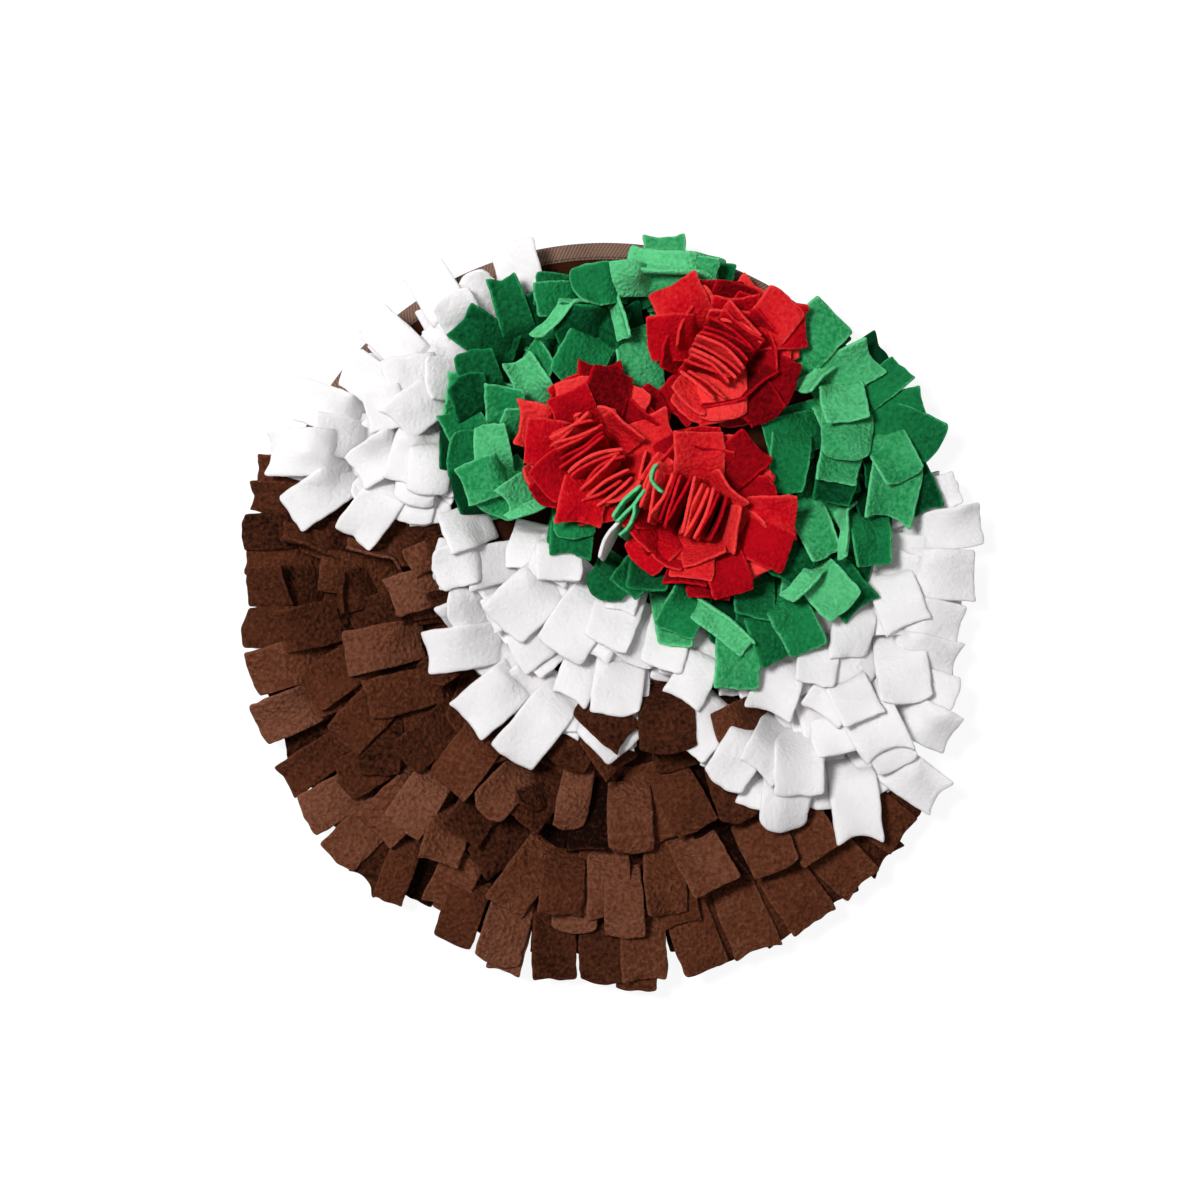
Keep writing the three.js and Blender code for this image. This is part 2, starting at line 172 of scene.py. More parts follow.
# The height above which the tape is on the upper face, where it puckers a little, and its weave.
TAPE_MIDDLE = 0.002
RIB_PITCH = 0.0021
THREAD_PITCH = 0.0009

wrap = [(TAPE_EDGE + 0.0004, 0.0001), (BASE_RADIUS - 0.0030, 0.0001), (BASE_RADIUS - 0.0008, 0.0006),
        (BASE_RADIUS, 0.0020), (BASE_RADIUS - 0.0006, 0.0033), (BASE_RADIUS - 0.0024, TAPE_TOP - 0.0001),
        (TAPE_EDGE + 0.0040, TAPE_TOP), (TAPE_EDGE + 0.0019, TAPE_TOP - 0.0001),
        (STITCH_RADIUS, TAPE_TOP - 0.0004), (TAPE_EDGE, TAPE_TOP)]
bm = spun(wrap, steps=360)
across = bm.verts.layers.float.new("across_tape")
around = bm.verts.layers.float.new("around_rim")
for vert in bm.verts:
    turn = math.atan2(vert.co.y, vert.co.x)
    radius = math.hypot(vert.co.x, vert.co.y)
    vert[across] = radius - TAPE_EDGE
    vert[around] = abs(turn) * BASE_RADIUS
    pucker = 0.00035 * math.sin(61 * turn) + 0.00025 * math.sin(97 * turn + 1)
    if vert.co.z > TAPE_MIDDLE:
        vert.co.z -= abs(pucker) * (1 - abs(2 * (radius - TAPE_EDGE) / TAPE_WIDTH - 1))
tape = piece_from(bm, "rim_tape")
thicken = tape.modifiers.new("tape thickness", "SOLIDIFY")
thicken.thickness = TAPE_THICKNESS
thicken.offset = -1

twill, cloth = new_material("woven tape")
spot = cloth.node("ShaderNodeTexCoord", output=3)
over = cloth.node("ShaderNodeAttribute", {"attribute_name": "across_tape"}, output=2)
along = cloth.node("ShaderNodeAttribute", {"attribute_name": "around_rim"}, output=2)
slanted = along + over * 0.6
ribs = cloth.node("ShaderNodeMath", {"operation": "SINE"}, {0: slanted * (2 * math.pi / RIB_PITCH)})
threads = cloth.node("ShaderNodeMath", {"operation": "SINE"}, {0: over * (2 * math.pi / THREAD_PITCH)})
weave = 0.5 + 0.34 * ribs + 0.16 * threads
fibre = cloth.node("ShaderNodeTexNoise", None, {"Vector": spot, "Scale": 1500, "Detail": 3})
patch = cloth.node("ShaderNodeTexNoise", None, {"Vector": spot, "Scale": 40, "Detail": 2})
mottle = 0.5 * weave + 0.25 * fibre + 0.25 * patch
tone = mottle.ramp((0.2, (0.060, 0.032, 0.022)), (0.8, (0.30, 0.175, 0.125)))
raised = cloth.node("ShaderNodeBump", None, {"Height": weave, "Distance": 0.0004, "Strength": 0.7})
finish_material(cloth, tone, raised, **{"Roughness": 0.82, "Specular IOR Level": 0.3})
place(tape, twill, "binding_tape", "rim_binding")

bm = bmesh.new()
for i in range(STITCHES):
    turn = 2 * math.pi * i / STITCHES
    made = bmesh.ops.create_uvsphere(bm, u_segments=8, v_segments=6, radius=1)["verts"]
    bmesh.ops.scale(bm, verts=made, vec=(0.0004, 0.00145, 0.0003))
    bmesh.ops.translate(bm, verts=made, vec=(STITCH_RADIUS, 0, TAPE_TOP - 0.0002))
    bmesh.ops.rotate(bm, verts=made, cent=(0, 0, 0), matrix=Matrix.Rotation(turn, 3, "Z"))
stitches = piece_from(bm, "rim_stitches")
thread, cloth = new_material("sewing thread")
spot = cloth.node("ShaderNodeTexCoord", output=3)
twist = cloth.node("ShaderNodeTexNoise", None, {"Vector": spot, "Scale": 2500, "Detail": 2})
tone = twist.ramp((0.3, (0.030, 0.015, 0.011)), (0.7, (0.075, 0.040, 0.028)))
raised = cloth.node("ShaderNodeBump", None, {"Height": twist, "Distance": 0.0002, "Strength": 0.5})
finish_material(cloth, tone, raised, **{"Roughness": 0.6})
stitches.data.materials.append(thread)
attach(stitches, "root")


# The pudding: strips of brown fleece, each sewn down along one edge and slit from the other into square tabs.
# The rows are sewn on from the rim inwards, so that each row hides the seam of the one before. Every tab is
# laid on what is there already, so the height of the pile so far is kept in a grid of small square cells.
MM = 0.001
# The fleece, the hem behind a seam, and a tab: its common width in millimetres, and its columns and rows.
FLEECE_THICKNESS = 0.0022
HEM_WIDTH = 0.006
TAB_WIDTH = 26
TAB_COLUMNS = 8
TAB_ROWS = 15
# The cells of the pile, and in how many steps a new layer is spread over them from row to row.
CELL = 0.001
HALF_CELLS = 300
LAYER_STEPS = 6
# How clear of the pile a tab lies, and how many rounds smooth its bends. It sags a little in each round, and
# at most by a share of its height.
CLEARANCE = 0.0004
SMOOTHING_ROUNDS = 60
CLOTH_WEIGHT = 1.2e-5
MOST_SAG = 0.3
# How high above the floor a seam may lie, from what height the pile is pressed down, and its highest point.
ROOT_HEIGHT = 0.007
FIRM_HEIGHT = 0.034
CROWN_HEIGHT = 0.052

span = (np.arange(2 * HALF_CELLS + 1) - HALF_CELLS) * CELL
from_middle = np.hypot(*np.meshgrid(span, span))
pile = np.where(from_middle < BASE_RADIUS, TAPE_TOP, 0.0)
pile[from_middle < TAPE_EDGE] = BASE_THICKNESS


def pile_cells(points):
    """The rows and columns of the cells in which points lie."""
    row, column = (np.rint(points[..., axis] / CELL).astype(int) + HALF_CELLS for axis in (1, 0))
    return row, column


def pile_under(points):
    """The height of the highest cloth close to each point."""
    row, column = pile_cells(points)
    near = range(-1, 2)
    return np.max([pile[row + i, column + j] for i in near for j in near], axis=0)


def raise_pile(points):
    """Adds to the pile a layer of fleece whose underside runs through rows of points."""
    for u in np.linspace(0, 1, LAYER_STEPS):
        for v in np.linspace(0, 1, LAYER_STEPS):
            near = (1 - v) * points[:-1, :-1] + v * points[:-1, 1:]
            far = (1 - v) * points[1:, :-1] + v * points[1:, 1:]
            between = (1 - u) * near + u * far
            np.maximum.at(pile, pile_cells(between), between[..., 2] + FLEECE_THICKNESS)


LEAST_BOW = 1e-5


def seam_arc(x0, y0, x1, y1, bow):
    """An arched seam from its ends and its bow, in metres: its length, and a function that gives its points
    and the way its tabs point there, at shares of its length."""
    start, end = np.array([x0, y0]), np.array([x1, y1])
    chord = np.linalg.norm(end - start)
    along = (end - start) / chord
    out = np.array([along[1], -along[0]])
    bow = max(bow, LEAST_BOW)
    radius = (chord**2 / 4 + bow**2) / (2 * bow)
    half = 2 * math.atan(2 * bow / chord)
    middle = (start + end) / 2 + (bow - radius) * out

    def at(share):
        turn = half * (2 * np.asarray(share)[..., None] - 1)
        way = np.sin(turn) * along + np.cos(turn) * out
        return middle + radius * way, way

    return 2 * half * radius, at


def soft_noise(rng, rows, columns, size):
    """Broad random swells over rows and columns of points."""
    coarse = rng.normal(0, size, (4, 3))
    across = np.array([np.interp(np.linspace(0, 2, columns), [0, 1, 2], row) for row in coarse])
    return np.array([np.interp(np.linspace(0, 3, rows), [0, 1, 2, 3], column) for column in across.T]).T


# Where along a tab, in shares of its length, its curl starts and how long it is, where it is as wide as it
# gets, and where it starts to show how its end was cut. Then how far its cuts wander and its face swells, and
# the least curve across it.
CURL_START = 0.55
CURL_SPAN = 0.45
FULL_WIDTH = 0.5
TIP_START = 0.3
END_WANDER = 0.0005
SIDE_WANDER = 0.0004
SWELL = 0.0011
LEAST_CURVE = 0.1


def tab_shape(rng, root, length, width, rise, droop, curl=0, cup=0, roll=0, ear=0, skew=0, early=1):
    """Rows of points of a tab standing free: how far along, to the left and up. It leaves its seam at the
    angle rise and reaches its tip at the angle droop, and its last part may curl up by another angle. cup is
    how tightly its sides curl up by the tip, or sooner if early is more than 1. roll turns it to stand on its
    right side, ear lifts one corner, and skew slants the cut of its end."""
    share = np.linspace(0, 1, TAB_ROWS + 1)
    pitch = rise + (droop - rise) * share**0.8 + curl * np.clip(share - CURL_START, 0, 1) / CURL_SPAN
    pitch = np.radians(pitch)
    middle = (pitch[1:] + pitch[:-1]) / 2
    along = np.concatenate([[0], np.cumsum(np.cos(middle))]) * length / TAB_ROWS
    up = np.concatenate([[0], np.cumsum(np.sin(middle))]) * length / TAB_ROWS
    widths = root + (width - root) * np.minimum(1, share / FULL_WIDTH)
    across = np.linspace(-0.5, 0.5, TAB_COLUMNS + 1) * widths[:, None]
    share, pitch, along, up = (values[:, None] for values in (share, pitch, along, up))
    tip = np.clip(share - TIP_START, 0, 1) ** 2 * 2
    bent = np.minimum(1, share * early)
    uneven = across * math.tan(math.radians(skew)) + rng.normal(0, 12) * across**2
    along = along + tip * (uneven + rng.normal(0, END_WANDER, across.shape[1])) * np.cos(pitch)
    across = across + share * rng.normal(0, SIDE_WANDER, across.shape) * (abs(across) > 0.4 * width)
    curve = np.where(abs(cup * bent) < LEAST_CURVE, LEAST_CURVE, cup * bent)
    side = np.sin(curve * across) / curve
    corner = np.clip(share - 0.4, 0, 1) * np.clip(across / width * np.sign(ear) + 0.3, 0, 1)
    off = (1 - np.cos(curve * across)) / curve + abs(ear) * 4 * corner**2
    off = off + np.minimum(1, 3 * share) * soft_noise(rng, *across.shape, SWELL)
    lean = np.radians(roll) * bent
    side, off = side * np.cos(lean) - off * np.sin(lean), side * np.sin(lean) + off * np.cos(lean)
    return np.stack([along - off * np.sin(pitch), side, up + off * np.cos(pitch)], axis=-1)


def turned(shape, at, heading):
    """A shape's points set down at a place, along the way that it heads."""
    cos, sin = math.cos(heading), math.sin(heading)
    x = at[0] + shape[..., 0] * cos - shape[..., 1] * sin
    y = at[1] + shape[..., 0] * sin + shape[..., 1] * cos
    return np.stack([x, y, shape[..., 2]], axis=-1)


def laid(points, tucked):
    """A tab's points lifted clear of the cloth below. It bends smoothly from its root, which stays, and sags
    a little where nothing holds it up. Its first rows are tucked in between other tabs, and don't lie on
    them."""
    need = pile_under(points) + CLEARANCE - points[..., 2]
    need[:tucked] = -1
    lift = np.maximum(need, 0)
    least = np.maximum(need, -MOST_SAG * (points[..., 2] - BASE_THICKNESS))
    for _ in range(SMOOTHING_ROUNDS):
        lift[0] = 0
        wide = np.pad(lift, 1, mode="edge")
        soft = (wide[:-2, 1:-1] + wide[2:, 1:-1] + wide[1:-1, :-2] + wide[1:-1, 2:]) / 4
        lift = np.maximum(soft - CLOTH_WEIGHT, least)
    lift[0] = 0
    points = points.copy()
    points[..., 2] += lift
    raise_pile(points)
    return points


def new_cloth():
    """An empty mesh that can note its cut edges and how pale each tab is."""
    bm = bmesh.new()
    bm.verts.layers.float.new("cut_edge")
    bm.verts.layers.float.new("shade")
    return bm


def add_cloth(bm, points, tint, hem=False):
    """Adds a sheet through rows of points that run from right to left. Gives back the row that is sewn down,
    which is a hem's last and a tab's first. The others are cut edges."""
    rows, columns = points.shape[0] - 1, points.shape[1] - 1
    cut_edge, shade = (bm.verts.layers.float[name] for name in ("cut_edge", "shade"))
    sewn = []
    for vert in bmesh.ops.create_grid(bm, x_segments=columns, y_segments=rows, size=0.5)["verts"]:
        column = round((0.5 - vert.co.x) * columns)
        row = round((vert.co.y + 0.5) * rows)
        if row == (rows if hem else 0):
            sewn.append(vert)
        else:
            vert[cut_edge] = row in (0, rows) or column in (0, columns)
        vert[shade] = tint
        vert.co = points[row, column]
    return sewn


def finish_cloth(bm, name):
    """The sheets as one piece, pressed down so that the deepest pile is no higher than the crown."""
    room = CROWN_HEIGHT - FIRM_HEIGHT
    for vert in bm.verts:
        over = max(0, vert.co.z - FIRM_HEIGHT)
        vert.co.z += room * (1 - math.exp(-over / room)) - over
    piece = piece_from(bm, name)
    thicken = piece.modifiers.new("fleece thickness", "SOLIDIFY")
    thicken.thickness = FLEECE_THICKNESS
    thicken.offset = 1
    soften = piece.modifiers.new("soft edges", "SUBSURF")
    soften.levels = soften.render_levels = 1
    return piece


def fleece(name, deep, body, pale, pebbles, tints, edges, **lit):
    """Fleece: a pebbled nap with flecks of pale fibre. pebbles is how strongly it is pebbled, tints how much
    the tabs differ, and edges how much paler the cut edges are, partly the cut fibre's own colour and partly
    a painted highlight on the rims."""
    material, cloth = new_material(name)
    spot = cloth.node("ShaderNodeTexCoord", output=3)
    nap = {"Vector": spot, "Scale": 400, "Detail": 3, "Roughness": 0.55}
    pebble = cloth.node("ShaderNodeTexNoise", None, nap)
    pills = {"Vector": spot, "Scale": 430, "Smoothness": 0.6}
    pill = cloth.node("ShaderNodeTexVoronoi", {"feature": "SMOOTH_F1"}, pills)
    fibre = cloth.node("ShaderNodeTexNoise", None, {"Vector": spot, "Scale": 1900, "Detail": 2})
    patch = cloth.node("ShaderNodeTexNoise", None, {"Vector": spot, "Scale": 45, "Detail": 2})
    tint = cloth.node("ShaderNodeAttribute", {"attribute_name": "shade"}, output=2)
    edge = cloth.node("ShaderNodeAttribute", {"attribute_name": "cut_edge"}, output=2)
    close = 0.45 * (pebble - 0.5) - 0.12 * (pill - 0.35) + 0.2 * (fibre - 0.5)
    mottle = pebbles * close + 0.2 * (patch - 0.5)
    # The cut edges are lightened here: partly their own paler fibre, partly a painted highlight where rims
    # catch the light.
    tone = 0.5 + mottle + tints * tint + edges * edge**3
    colour = tone.ramp((0.15, deep), (0.5, body), (0.85, pale))
    height = 0.8 * pebble + 0.35 * fibre - 0.5 * pill
    bump = {"Height": height, "Distance": 0.0032, "Strength": min(1, pebbles)}
    raised = cloth.node("ShaderNodeBump", None, bump)
    sheen = {"Sheen Weight": 0.06, "Sheen Roughness": 0.5, "Sheen Tint": (*pale, 1)}
    finish_material(cloth, colour, raised, **{"Roughness": 0.95, "Specular IOR Level": 0.06}, **sheen, **lit)
    return material


# Ways in which a placed tab may lie. twist is how much its roll may vary, in degrees.
FLAT = {"rise": 46, "droop": -12, "cup": 6}
LIFTED = {"rise": 62, "droop": 12, "cup": 16}
RAISED = {"rise": 58, "droop": 2, "cup": 34}
TIPPED = {"rise": 68, "droop": 24, "cup": 40}
CUPPED = {"rise": 54, "droop": 8, "cup": 80}
ARCHED = {"rise": 60, "droop": -30, "cup": -60}
CURLED = {"rise": 46, "droop": 0, "curl": 120, "cup": 15}
ON_EDGE = {"rise": 44, "droop": 10, "cup": 35, "roll": 64, "early": 3, "twist": 5}
ROLLED = {"rise": 40, "droop": -6, "cup": 95, "roll": 48, "early": 4, "twist": 5}
PLACED_TWIST = 12


# How many rows of a placed tab are tucked in, and how wide its root is for its width. Then a hem's rows, how
# far it clears the cloth below, and how far the next layer's may lie above it.
TUCKED_ROWS = 5
ROOT_SHARE = 0.9
HEM_ROWS = 3
HEM_CLEARANCE = 0.0003
HEM_STEP = 0.003


def lay_tab(bm, rng, root, middle, heading, tab):
    """Adds one tab from its root, a row of points whose middle is given, or else with its tip at the middle.
    Gives back its root."""
    tint = tab.pop("tint")
    heading += math.radians(tab.pop("lean"))
    for size in ("length", "width", "ear"):
        tab[size] *= MM
    if root is None:
        shape = tab_shape(rng, ROOT_SHARE * tab["width"], **tab)
        reach = shape[-1, TAB_COLUMNS // 2, 0]
        points = turned(shape, middle - reach * np.array([math.cos(heading), math.sin(heading)]), heading)
        points[..., 2] += ROOT_HEIGHT
    else:
        shape = tab_shape(rng, np.linalg.norm(root[0, :2] - root[-1, :2]), **tab)
        points = turned(shape, middle, heading)
        points[0] = root
        points[1:, :, 2] += root[:, 2]
    return add_cloth(bm, laid(points, TUCKED_ROWS if root is None else 1), tint)


def sew_fringe(seed, seam, tabs, length, rise, droop, unruly, layers):
    """Layers of fringe in one seam, one on the other. Their tabs fall at random, the more so the more unruly
    they are."""
    rng = np.random.default_rng(seed)
    run, at = seam_arc(*(MM * value for value in seam))
    bm = new_cloth()
    sewn = []
    area = 0
    for layer in range(layers):
        shift = 0 if layer else rng.uniform(-0.3, 0.3) / tabs
        places, ways = at(np.linspace(0, 1, tabs * TAB_COLUMNS + 1) + shift)
        hem = np.zeros((HEM_ROWS, tabs * TAB_COLUMNS + 1, 3))
        for row in range(HEM_ROWS):
            hem[row, :, :2] = places - (1 - row / (HEM_ROWS - 1)) * HEM_WIDTH * ways
        need = np.minimum(pile_under(hem).max(axis=0) + HEM_CLEARANCE, ROOT_HEIGHT + HEM_STEP * layer)
        height = need.copy()
        for _ in range(SMOOTHING_ROUNDS):
            wide = np.pad(height, 1, mode="edge")
            height = np.maximum((wide[:-2] + wide[2:]) / 2, need)
        hem[..., 2] = height
        area += run * HEM_WIDTH
        sewn += add_cloth(bm, hem, 0, hem=True)
        for i in range(tabs):
            root = hem[-1, i * TAB_COLUMNS:(i + 1) * TAB_COLUMNS + 1]
            # The lower tabs' paleness is drawn mostly dark, from -1.8 to 0.4: on top of their own random
            # tone, this is painted shade where they lie under the tabs placed over them.
            tab = {"length": length * (1 + 0.07 * unruly * rng.uniform(-1, 1)),
                   "width": TAB_WIDTH + rng.uniform(-1.5, 1),
                   "rise": rise + unruly * rng.normal(0, 9), "droop": droop + unruly * rng.normal(0, 12),
                   "cup": unruly * rng.normal(0, 16), "roll": unruly * rng.normal(0, 15),
                   "ear": unruly * rng.choice([-4, 0, 0, 4]) * rng.uniform(0.3, 1), "skew": rng.normal(0, 3),
                   "lean": unruly * rng.normal(0, 7) + 2 * layer - 1, "tint": rng.uniform(-1.8, 0.4)}
            area += tab["length"] * run / tabs * MM
            middle, way = at((i + 0.5) / tabs + shift)
            sewn += lay_tab(bm, rng, root, middle, math.atan2(way[1], way[0]), tab)
        raise_pile(hem)
    return {"rng": rng, "bm": bm, "sewn": sewn, "area": area, "wide": MM * length + HEM_WIDTH}


def finish_fringe(strip, node, fibre, slot, placed):
    """Adds a strip's uppermost tabs, which lie in ways of their own, and puts the strip in place of its solid
    in the frame. Each row gives the middle of a tab's tip, its heading, its length, the way it lies, and, if
    they are out of the common, its width and how pale it is, from -1 to 1. That paleness is partly the tab's
    own tone and partly painted shade: tabs that face away from the lamp or lie under others are made darker."""
    rng, bm = strip["rng"], strip["bm"]
    for x, y, heading, length, way, *more in placed:
        width, tint = (*more, None, None)[:2]
        tab = {"length": length, "width": width or TAB_WIDTH + rng.uniform(-1, 1), "lean": rng.normal(0, 2),
               "ear": rng.choice([-3, 0, 3]), "skew": rng.normal(0, 3),
               "tint": rng.uniform(-1, 1) if tint is None else tint, **way}
        tab["rise"] += rng.normal(0, 5)
        tab["droop"] += rng.normal(0, 6)
        tab["roll"] = tab.get("roll", 0) + rng.normal(0, tab.pop("twist", PLACED_TWIST))
        strip["area"] += tab["length"] * tab["width"] * MM**2
        lay_tab(bm, rng, None, MM * np.array([x, y]), math.radians(heading), tab)
    bmesh.ops.remove_doubles(bm, verts=strip["sewn"], dist=1e-5)
    piece = finish_cloth(bm, node + "_fleece")
    place(piece, fibre, slot, node)
    strip["area"] / strip["wide"]


brown = fleece("brown fleece", (0.007, 0.0015, 0.0006), (0.122, 0.0350, 0.0152), (0.280, 0.110, 0.064),
               pebbles=1.2, tints=0.2, edges=0.1)
PUDDING_SEED = 100
# Seam ends and bow, number of tabs, and their length, in millimetres; the angles at which they rise and
# droop; and how unruly they lie. Tabs lie to the right of the seam.
PUDDING = [
    ("pudding_row_1", (-156, 50, 145, -112, 158), 21, 35, 20, -8, 0.7),
    ("pudding_row_2", (-138, 34, 93, -118, 103), 15, 42, 24, 0, 1.3),
    ("pudding_row_3", (-119, 33, 64, -99, 78), 11, 44, 28, 5, 1.4),
    ("pudding_row_4", (-98, 30, -30, -88, 30), 5, 42, 28, 5, 1.4),
    ("pudding_left_notch", (-88, 40, -86, -16, 2), 2, 36, 36, 10, 1.4),
]
# The tabs that lie uppermost, in millimetres and degrees, in the order that finish_fringe gives.
PUDDING_TABS = {
    "pudding_row_1": [
        (-205, 64, 172, 44, FLAT, 22), (-207, 49, 176, 44, FLAT, 20), (-212, 12, 182, 40, FLAT, 20),
        (-214, 27, 180, 44, ARCHED, 23, -1), (-211, -5, 182, 46, FLAT, 24), (-215, -30, 184, 46, FLAT, 26),
        (-209, -58, 197, 46, FLAT, 28), (-205, -87, 201, 46, FLAT, 27), (-189, -120, 213, 42, FLAT, 23),
        (-178, -142, 213, 44, FLAT, 26), (-141, -178, 226, 42, FLAT, 24, -1),
        (-160, -166, 222, 46, FLAT, 26), (-97, -194, 243, 44, FLAT, 26), (-129, -191, 246, 42, FLAT, 19),
        (-60, -232, 256, 46, FLAT, 22), (-90, -216, 252, 46, FLAT, 25), (-65, -228, 254, 48, FLAT, 28),
        (-30, -237, 268, 48, FLAT, 27), (19, -243, 272, 46, FLAT, 26), (-2, -240, 271, 48, FLAT, 27),
        (23, -236, 274, 48, FLAT, 28), (76, -226, 288, 46, FLAT, 26, -0.6),
        (108, -211, 298, 46, FLAT, 28, -0.7), (139, -190, 310, 46, FLAT, 28, -0.8),
        (165, -165, 318, 46, FLAT, 28, -0.8), (184, -141, 325, 44, FLAT, 26, -0.8),
        (60, -231, 286, 48, FLAT, 28, 0), (90, -219, 291, 48, FLAT, 29, 0.2),
        (123, -202, 305, 48, FLAT, 31, -0.1), (151, -179, 315, 48, FLAT, 30, 0.1),
        (175, -152, 322, 46, FLAT, 29, -0.3),
    ],
    "pudding_row_2": [
        (-190, 22, 172, 40, ROLLED, 26, -0.6), (-187, -5, 178, 42, CURLED, 26, -1),
        (-189, -32, 193, 44, FLAT, 27, -0.6), (-157, -122, 211, 44, FLAT, 27, -0.5),
        (-175, -69, 216, 46, FLAT, 27), (-133, -116, 268, 40, FLAT, 26, -1), (-156, -97, 227, 46, FLAT, 27),
        (-136, -149, 224, 46, FLAT, 30), (-120, -147, 236, 46, FLAT, 26), (-98, -167, 250, 40, LIFTED, 26),
        (-75, -168, 218, 40, ARCHED, 24), (-18, -210, 268, 44, FLAT, 28), (-60, -194, 238, 48, FLAT, 26),
        (3, -199, 272, 44, FLAT, 27), (-27, -198, 262, 44, LIFTED, 27, -0.4), (12, -212, 272, 44, FLAT, 24),
        (46, -204, 285, 46, FLAT, 24), (36, -198, 272, 46, FLAT, 26), (128, -163, 302, 46, LIFTED, 28, 0.1),
        (102, -172, 293, 48, LIFTED, 32, 0.2), (66, -182, 295, 46, LIFTED, 31, 0.5),
    ],
    "pudding_row_3": [
        (-149, -28, 200, 42, FLAT, 25, -1), (-152, 18, 168, 38, ON_EDGE, 24),
        (-154, -8, 188, 40, CURLED, 26, -0.8), (-140, -72, 197, 46, FLAT, 25),
        (-153, -45, 190, 50, FLAT, 27, 0.6), (-85, -152, 240, 42, LIFTED, 26, -1),
        (-119, -108, 226, 48, FLAT, 25), (-72, -138, 223, 46, LIFTED, 24), (-92, -122, 236, 48, FLAT, 29),
        (-50, -132, 200, 26, CURLED, 16, -1), (82, -142, 290, 44, LIFTED, 28, -0.6),
        (-22, -148, 262, 44, ARCHED, 20, 0.8), (15, -163, 272, 46, FLAT, 28), (56, -148, 297, 46, FLAT, 27),
    ],
    "pudding_row_4": [
        (-126, -12, 196, 42, LIFTED, 25), (-104, -60, 226, 36, LIFTED, 22),
        (-103, -15, 200, 34, ON_EDGE, 18, -1), (-24, -113, 250, 42, FLAT, 26, -0.8),
        (44, -113, 284, 42, FLAT, 28, -0.8), (9, -112, -58, 42, FLAT, 27, -0.4),
    ],
    "pudding_left_notch": [
        (-117, 30, 186, 40, ARCHED, 27, -1), (-116, 8, 200, 38, FLAT, 18), (-104, 16, 196, 40, LIFTED, 16),
    ],
}
strips = [sew_fringe(PUDDING_SEED + i, *row, layers=1) for i, (_, *row) in enumerate(PUDDING)]
for strip, (node, *_) in zip(strips, PUDDING):
    finish_fringe(strip, node, brown, "brown_fleece", PUDDING_TABS[node])


# The icing: white fleece fringe in three lobes, with two layers of it in every seam. Each lobe runs down over
# the pudding in its own rows, the lowest sewn first. One brown row shows in the notch between the middle lobe
# and the right one.
glow_through = {"Subsurface Weight": 0.4, "Subsurface Radius": (1, 1, 1), "Subsurface Scale": 0.006}
white = fleece("white fleece", (0.74, 0.705, 0.72), (0.872, 0.848, 0.856), (0.89, 0.878, 0.882),
               pebbles=0.3, tints=0.06, edges=0.1, **glow_through)
ICING_SEED = 200
# The sewn tabs are trimmed to this share of their length, so that those placed over them give the outline.
TRIM = 0.84
# Seam ends and bow, number of tabs, and their length before the trim; the angles at which they rise and
# droop. A strip may be of the icing's cloth or of the pudding's.
ICING = [
    ("icing_left_row_1", white, (-27, 150, -156, 52, 22), 7, 43, 20, -8),
    ("icing_left_drip", white, (-142, 66, -98, 50, 4), 2, 24, 24, 5),
    ("icing_left_row_2", white, (-72, 126, -116, 72, 3), 3, 44, 24, 5),
    ("icing_left_row_3", white, (-122, 86, -84, 72, 2), 2, 32, 24, 5),
    ("icing_middle_row_1", white, (-72, 20, 18, -72, 30), 6, 33, 20, 0),
    ("icing_middle_row_2", white, (-48, 24, 26, -46, 18), 5, 46, 20, 0),
    ("pudding_right_notch", brown, (24, -66, 76, -62, 2), 2, 40, 24, 5),
    ("icing_middle_row_3", white, (-20, 12, 58, -30, 8), 4, 42, 24, 0),
    ("icing_middle_row_4", white, (-54, 30, -18, 22, 0), 2, 30, 24, 5),
    ("icing_right_row_1", white, (163, -77, 158, 52, 13), 5, 43, 16, -8),
    ("icing_right_row_2", white, (82, -106, 168, -88, 12), 3, 33, 20, 0),
    ("icing_right_corner", white, (62, -66, 98, -92, 1), 2, 44, 20, 0),
    ("icing_right_row_3", white, (100, -80, 162, -64, 6), 2, 44, 20, 0),
    ("icing_right_row_4", white, (106, -54, 160, -40, 4), 2, 46, 20, 0),
    ("icing_right_row_5", white, (70, -28, 146, -20, 3), 3, 50, 20, 0),
    ("icing_right_row_6", white, (150, -34, 160, 22, 2), 2, 46, 20, 0),
]
